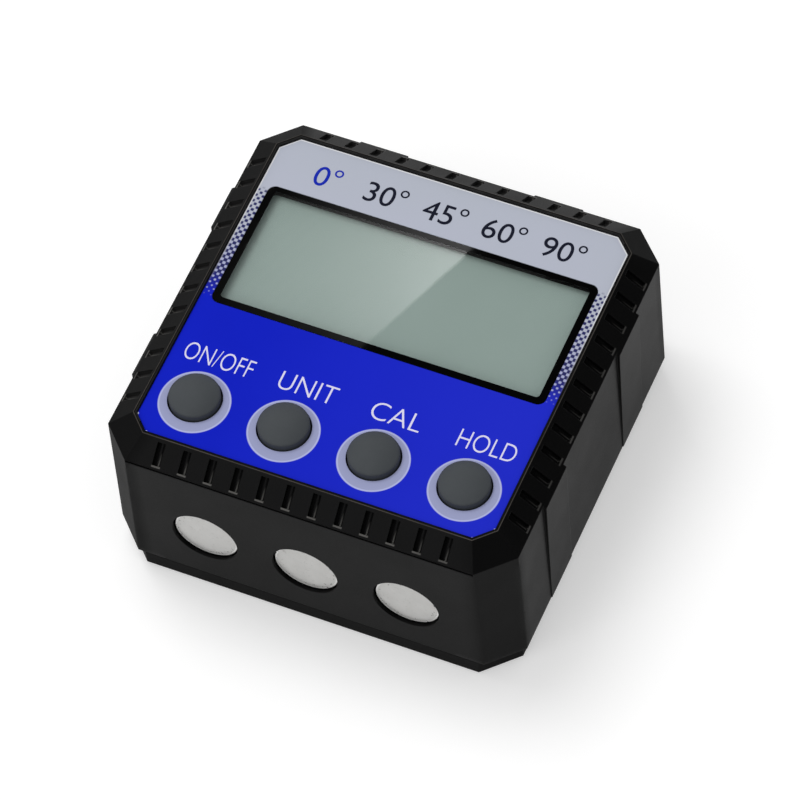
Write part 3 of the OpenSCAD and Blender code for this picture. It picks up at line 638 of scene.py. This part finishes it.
def lcd_glass():
    """Grey-green display with a fine polariser grain."""
    m = Material("lcd_glass")
    place = m.place()
    grain = m.noise(place, size=0.12, stretch=(1.0, 0.2, 1.0))
    broad = m.noise(place, size=12.0, detail=1.0)
    tone = m.math("ADD", m.spread(broad, 0.0, LCD_BROAD), m.spread(grain, 0.0, 1 - LCD_BROAD))
    m.set(
        Base_Color=m.mix(tone, LCD, LCD_LOW),
        Roughness=m.spread(grain, 0.55, 0.6),
        Specular_IOR_Level=0.0,
    )
    return m.material


def key_rubber():
    """Matte grey rubber with a dusty grain."""
    m = Material("key_rubber")
    place = m.place()
    fine = m.noise(place, size=0.09, detail=3.0)
    broad = m.noise(place, size=2.2)
    tone = m.math("MULTIPLY_ADD", broad, KEY_BROAD, m.math("MULTIPLY", fine, 1 - KEY_BROAD))
    m.set(
        Base_Color=m.mix(tone, KEY_GREY, KEY_DARK),
        Roughness=m.spread(fine, 0.55, 0.68),
        Specular_IOR_Level=0.3,
        Normal=m.bump(fine, 0.01, strength=0.4, normal=m.edge(radius=0.5)[0]),
    )
    return m.material


def magnet_nickel(middle_x, middle_z, radius):
    """Nickel plating with faint lapping lines, specks and chips near the rim, and a painted highlight round
    the rim.
    """
    m = Material("magnet_nickel_" + str(round(middle_x)).replace("-", "m"))
    place = m.place()
    x, _, z = m.axes(place)
    out = m.distance(m.math("SUBTRACT", x, middle_x), m.math("SUBTRACT", z, middle_z))
    lines = m.noise(place, size=0.25, detail=4.0, stretch=(6.0, 1.0, 0.35))
    specks = m.noise(place, size=0.3)
    stains = m.noise(place, size=1.6, detail=3.0)
    near_rim = m.ramp(out, radius * CHIPS_FROM, radius * CHIPS_TO)
    often = m.math("MULTIPLY_ADD", near_rim, 1 - CHIP_MIDDLE, CHIP_MIDDLE)
    chips = m.math("MULTIPLY", m.ramp(specks, CHIP_FROM, CHIP_TO), often)
    tone = m.mix(m.ramp(stains, STAIN_FROM, STAIN_TO, 0.0, STAIN_MOST), NICKEL, NICKEL_DULL)
    # Painted highlight on the rim's edge
    tone = m.mix(m.ramp(out, radius - MAGNET_RIM_FROM, radius - MAGNET_RIM_TO), tone, NICKEL_RIM_HIGHLIGHT)
    m.set(
        Base_Color=m.mix(chips, tone, NICKEL_CHIP),
        Metallic=MAGNET_METAL,
        Roughness=m.math("ADD", m.spread(lines, 0.3, 0.42), m.math("MULTIPLY", chips, CHIP_ROUGH)),
        Normal=m.bump(lines, 0.004, strength=0.5, normal=m.edge(radius=0.05)[0]),
    )
    return m.material


def plain_grain(name, light, dark, size, rough, metallic):
    """A two-tone material with grain, for pieces inside the case."""
    m = Material(name)
    grain = m.noise(m.place(), size, detail=3.0)
    m.set(
        Base_Color=m.mix(m.spread(grain), light, dark),
        Metallic=metallic,
        Roughness=m.spread(grain, rough, rough + INNER_SPREAD),
        Specular_IOR_Level=INNER_SHINE,
        Normal=m.bump(grain, size * INNER_RELIEF, strength=0.4, normal=m.edge(radius=0.1)[0]),
    )
    return m.material


def cell_jacket(button_side):
    """Plain cell: dark jacket with a copper end, bare steel at both ends."""
    m = Material("cell_jacket_" + ("right" if button_side > 0 else "left"))
    place = m.place()
    along = m.math("MULTIPLY", m.axes(place)[0], float(button_side))
    grain = m.noise(place, size=0.4, detail=3.0, stretch=(0.2, 1.0, 1.0))
    copper = m.ramp(along, COPPER_FROM, COPPER_FROM + CELL_EDGE)
    ends = [m.ramp(along, side * STEEL_FROM, side * (STEEL_FROM + CELL_EDGE)) for side in (1, -1)]
    steel = m.math("MAXIMUM", *ends)
    colour = m.mix(copper, m.mix(m.spread(grain), CELL_BLACK, CELL_GREY), CELL_COPPER)
    m.set(
        Base_Color=m.mix(steel, colour, CELL_STEEL),
        Metallic=m.math("MAXIMUM", m.math("MULTIPLY", copper, COPPER_METAL), steel),
        Roughness=m.spread(grain, 0.28, 0.38),
        Normal=m.bump(grain, 0.01, strength=0.3, normal=m.edge(radius=0.1)[0]),
    )
    return m.material


def dress(node, material):
    """Gives a CAD node one material."""
    mesh = nodes[node].data
    mesh.materials.clear()
    mesh.materials.append(material)


def add_piece(name, mesh, material):
    """Links a new mesh on the case, with its material and the record's slot."""
    piece = bpy.data.objects.new(name, mesh)
    bpy.context.scene.collection.objects.link(piece)
    mesh.materials.clear()
    mesh.materials.append(material)
    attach(piece, CASE)
    return piece


def rounded_outline(middle, width, height, radius, steps=10):
    """Points round a rectangle with rounded corners, anticlockwise."""
    points = []
    for turn in range(4):
        start = turn * math.pi / 2
        sign_x = 1 if turn in (0, 3) else -1
        sign_y = 1 if turn in (0, 1) else -1
        corner = middle + Vector((sign_x * (width / 2 - radius), sign_y * (height / 2 - radius)))
        for step in range(steps + 1):
            angle = start + step / steps * math.pi / 2
            points.append(corner + radius * Vector((math.cos(angle), math.sin(angle))))
    return points


def frame_mesh(name, outer, inner, low, high):
    """A flat frame between two outlines of as many points, as a closed solid."""
    made = bmesh.new()
    loops = []
    for outline, level in ((outer, low), (outer, high), (inner, high), (inner, low)):
        loops.append([made.verts.new(millimetres(p.x, p.y, level)) for p in outline])
    count = len(outer)
    for first, second in zip(loops, loops[1:] + loops[:1]):
        for i in range(count):
            j = (i + 1) % count
            made.faces.new((first[i], first[j], second[j], second[i]))
    bmesh.ops.recalc_face_normals(made, faces=made.faces)
    mesh = bpy.data.meshes.new(name)
    made.to_mesh(mesh)
    made.free()
    return mesh


def lettering(name, words, cap, width, thin):
    """A mesh of plain lettering, cap millimetres high, its left end and base line at the origin."""
    curve = bpy.data.curves.new(name, "FONT")
    curve.body = words
    curve.extrude = LETTER_T / 2
    curve.offset = thin
    curve.resolution_u = LETTER_STEPS
    holder = bpy.data.objects.new(name + "_draft", curve)
    bpy.context.scene.collection.objects.link(holder)
    bpy.context.view_layer.update()
    graph = bpy.context.evaluated_depsgraph_get()
    mesh = bpy.data.meshes.new_from_object(holder.evaluated_get(graph))
    bpy.data.objects.remove(holder)
    bpy.data.curves.remove(curve)
    xs = [v.co.x for v in mesh.vertices]
    ys = [v.co.y for v in mesh.vertices]
    tall = cap / max(ys)
    wide = tall if width is None else width / (max(xs) - min(xs))
    shift = Matrix.Translation((-min(xs), 0, LETTER_T / 2))
    mesh.transform(Matrix.Diagonal((wide, tall, INK_T / LETTER_T, 1)) @ shift)
    return mesh


def print_words(name, words, cap, width, centre_x, base_y, material, thin=0.0):
    """Prints a word on the face panel, centred across, from the panel's middle."""
    mesh = lettering(name, words, cap, width, thin)
    reach = max(v.co.x for v in mesh.vertices)
    corner = Vector((face_middle.x + centre_x - reach / 2, face_middle.y + base_y, face_top))
    mesh.transform(Matrix.Scale(MM, 4) @ Matrix.Translation(corner))
    return add_piece(name, mesh, material)


def add_camera():
    """The camera at the photo's view."""
    forward = (CAMERA_AIM - CAMERA_PLACE).normalized()
    level = forward.cross(Vector((0, 0, 1))).normalized()
    upright = level.cross(forward)
    right = level * math.cos(CAMERA_ROLL) - upright * math.sin(CAMERA_ROLL)
    up = upright * math.cos(CAMERA_ROLL) + level * math.sin(CAMERA_ROLL)
    data = bpy.data.cameras.new("camera")
    data.lens = LENS
    data.sensor_width = SENSOR
    data.sensor_fit = "HORIZONTAL"
    camera = bpy.data.objects.new("camera", data)
    turn = Matrix((right, up, -forward)).transposed().to_4x4()
    camera.matrix_world = Matrix.Translation(CAMERA_PLACE) @ turn
    bpy.context.scene.collection.objects.link(camera)
    bpy.context.scene.camera = camera


def add_lamp(name, place, size, watts, mirrored):
    """A square area lamp that gloss mirrors or not; its place and size are in millimetres."""
    data = bpy.data.lights.new(name, "AREA")
    data.shape = "SQUARE"
    data.size = size * MM
    data.energy = watts
    lamp = bpy.data.objects.new(name, data)
    lamp.location = place * MM
    lamp.visible_glossy = mirrored
    lamp.rotation_mode = "QUATERNION"
    lamp.rotation_quaternion = (LAMP_AIM * MM - lamp.location).to_track_quat("-Z", "Y")
    bpy.context.scene.collection.objects.link(lamp)


def seen_or_mirrored(n):
    """1 for rays from the camera, mirrors and glass, and 0 for the light that falls on things."""
    path = n.node("LightPath").outputs
    mirrored = n.math("MAXIMUM", path["Is Glossy Ray"], path["Is Transmission Ray"])
    return n.math("MAXIMUM", path["Is Camera Ray"], mirrored)


def set_world():
    """White for the eye, a softer white as light, and in gloss a dark flag on the right and dusk low down."""
    world = bpy.data.worlds.new("studio")
    world.use_nodes = True
    n = Nodes(world.node_tree)
    background = n.tree.nodes["Background"]
    n.feed(background.inputs["Color"], WHITE)
    x, _, z = n.axes(n.node("TexCoord").outputs["Generated"])
    flag = n.ramp(x, FLAG_FROM, FLAG_TO, 1.0, FLAG)
    dusk = n.ramp(z, DUSK_FROM, DUSK_TO, DUSK, 1.0)
    shade = n.math("MULTIPLY", flag, dusk)
    glossy = n.node("LightPath").outputs["Is Glossy Ray"]
    shade = n.math("MULTIPLY_ADD", glossy, n.math("SUBTRACT", shade, 1.0), 1.0)
    strength = n.ramp(seen_or_mirrored(n), 0.0, 1.0, AMBIENT, 1.0)
    n.feed(background.inputs["Strength"], n.math("MULTIPLY", strength, shade))
    bpy.context.scene.world = world


def add_floor():
    """A pale floor that keeps the shadow, lifted so that its lit part is white for the eye."""
    mesh = bpy.data.meshes.new("floor")
    signs = ((-1, -1), (1, -1), (1, 1), (-1, 1))
    corners = [millimetres(sx * FLOOR_HALF, sy * FLOOR_HALF, -FLOOR_DROP) for sx, sy in signs]
    mesh.from_pydata(corners, [], [(0, 1, 2, 3)])
    floor = bpy.data.objects.new("floor", mesh)
    bpy.context.scene.collection.objects.link(floor)
    m = Material("floor_paper")
    grain = m.noise(m.place(), size=0.5)
    m.set(
        Base_Color=m.mix(grain, FLOOR, tuple(c * FLOOR_SHADE for c in FLOOR)),
        Roughness=0.9,
        Specular_IOR_Level=0.0,
        Emission_Color=WHITE,
        Emission_Strength=m.math("MULTIPLY", seen_or_mirrored(m), FLOOR_LIFT),
    )
    mesh.materials.append(m.material)


def add_glint_card():
    """A bright card and a dark flag overhead that meet in a straight edge, mirrored in the window."""
    pane = window_high.z
    eye = CAMERA_PLACE.copy() / MM
    eye.z = 2 * pane - eye.z
    past = (GLINT_TOP - GLINT_LOW) * GLINT_PAST
    fall = (1 - GLINT_LAST) * GLINT_PAST
    columns = [(-GLINT_REACH, 0.0), (0.0, 0.0)]
    for column in range(GLINT_COLUMNS + 1):
        share = column / GLINT_COLUMNS
        columns.append((GLINT_REACH * share, (1 - share) ** GLINT_FALL))
    points = []
    glow = []
    for aside, strength in columns:
        for end, share in ((GLINT_TOP + past, 1 + fall), (GLINT_LOW - past, GLINT_LAST - fall)):
            spot = face_middle.xy + end - Vector((aside, 0))
            on_pane = Vector((spot.x, spot.y, pane))
            points.append((eye + (on_pane - eye) * 2) * MM)
            glow.append(strength * share)
    # The second strip is the edge itself, which has no width
    faces = [(2 * i, 2 * i + 1, 2 * i + 3, 2 * i + 2) for i in range(len(columns) - 1) if i != 1]
    mesh = bpy.data.meshes.new("glint_card")
    mesh.from_pydata(points, [], faces)
    mesh.attributes.new("glow", "FLOAT", "POINT").data.foreach_set("value", glow)
    card = bpy.data.objects.new("glint_card", mesh)
    bpy.context.scene.collection.objects.link(card)
    card.visible_camera = False
    card.visible_diffuse = False
    card.visible_shadow = False
    m = Material("glint_card")
    attribute = m.tree.nodes.new("ShaderNodeAttribute")
    attribute.attribute_name = "glow"
    glowing = m.math("MAXIMUM", attribute.outputs["Fac"], 0.0)
    shining = m.node("Emission", Strength=m.math("MULTIPLY_ADD", glowing, GLINT_LIGHT, GLINT_DARK))
    m.feed(m.output.inputs["Surface"], shining.outputs[0])
    mesh.materials.append(m.material)


# Places taken from the frame, in millimetres
panel_low, panel_high = (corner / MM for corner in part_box("face_panel"))
window_low, window_high = (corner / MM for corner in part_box("display_window"))
face_middle = (panel_low + panel_high) / 2
face_top = panel_high.z
window_middle = (window_low + window_high) / 2
window_size = window_high - window_low
key_boxes = [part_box(node) for node in KEY_WORDS]
key_places = [(low + high) / 2 / MM for low, high in key_boxes]
key_pitch = key_places[1].x - key_places[0].x
rim_level = max(v.co.z for v in nodes["front_housing"].data.vertices) / MM
rim_outline = eight_sided(nodes["front_housing"].data, rim_level)
panel_outline = eight_sided(nodes["face_panel"].data, panel_high.z)

# Materials on the CAD pieces
housing = moulded_plastic("housing_plastic", HOUSING_GRAIN, HOUSING_WORN_LIT, rim=(rim_outline, rim_level))
dress("front_housing", housing)
dress("back_cover", moulded_plastic("cover_plastic", COVER_GRAIN, COVER_WORN_LIT, COVER_ROUGH, COVER_RELIEF))
dress("battery_door", moulded_plastic("door_plastic", DOOR_GRAIN, DOOR_WORN_LIT))
dress("face_panel", face_print(panel_outline, key_places, key_pitch))
dress("display_window", clear_window())
dress("lcd_panel", lcd_glass())
rubber = key_rubber()
for node in KEY_WORDS:
    dress(node, rubber)
for node in ("base_magnet_left", "base_magnet_middle", "base_magnet_right"):
    low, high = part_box(node)
    middle = (low + high) / 2 / MM
    dress(node, magnet_nickel(middle.x, middle.z, (high.x - low.x) / 2 / MM))
for name, (group, *finish) in INNER_FINISHES.items():
    material = plain_grain(name, *finish)
    for node in group:
        dress(node, material)
dress("battery_cell_lower", cell_jacket(1))
dress("battery_cell_upper", cell_jacket(-1))

# Black border printed on the window's face
outline_middle = window_middle.xy
outer_size = window_size.xy - Vector((2 * BORDER_EDGE, 2 * BORDER_EDGE))
inner_size = window_size.xy - Vector((2 * BORDER_W, BORDER_W + BORDER_TOP))
inner_middle = outline_middle + Vector((0, (BORDER_W - BORDER_TOP) / 2))
add_piece(
    "window_border",
    frame_mesh(
        "window_border",
        rounded_outline(outline_middle, outer_size.x, outer_size.y, BORDER_OUTER_R),
        rounded_outline(inner_middle, inner_size.x, inner_size.y, BORDER_INNER_R),
        window_high.z + BORDER_RISE - BORDER_T,
        window_high.z + BORDER_RISE,
    ),
    ink("border_ink", BLACK_INK, BORDER_ROUGH, BORDER_SHINE),
)

# Words over the keys and the row of plain angle numbers
word_ink = ink("word_ink", WORD_INK)
for node, (words, width, centre_x) in KEY_WORDS.items():
    print_words("word_" + node, words, WORD_CAP, width, centre_x, WORD_BASE, word_ink, WORD_THIN)
dark_ink = ink("number_ink", NUMBER_INK)
blue_ink = ink("number_blue", NUMBER_BLUE)
number_step = 2 * NUMBER_REACH / len(ANGLE_NUMBERS)
for i, words in enumerate(ANGLE_NUMBERS):
    centre_x = (i + 0.5) * number_step - NUMBER_REACH
    print_words(f"number_{i}", words, NUMBER_CAP, None, centre_x, NUMBER_BASE, dark_ink if i else blue_ink)

# Studio
add_camera()
bpy.context.scene.view_settings.view_transform = "Standard"
set_world()
add_floor()
for name, lamp in LAMPS.items():
    add_lamp(name, *lamp)
add_glint_card()
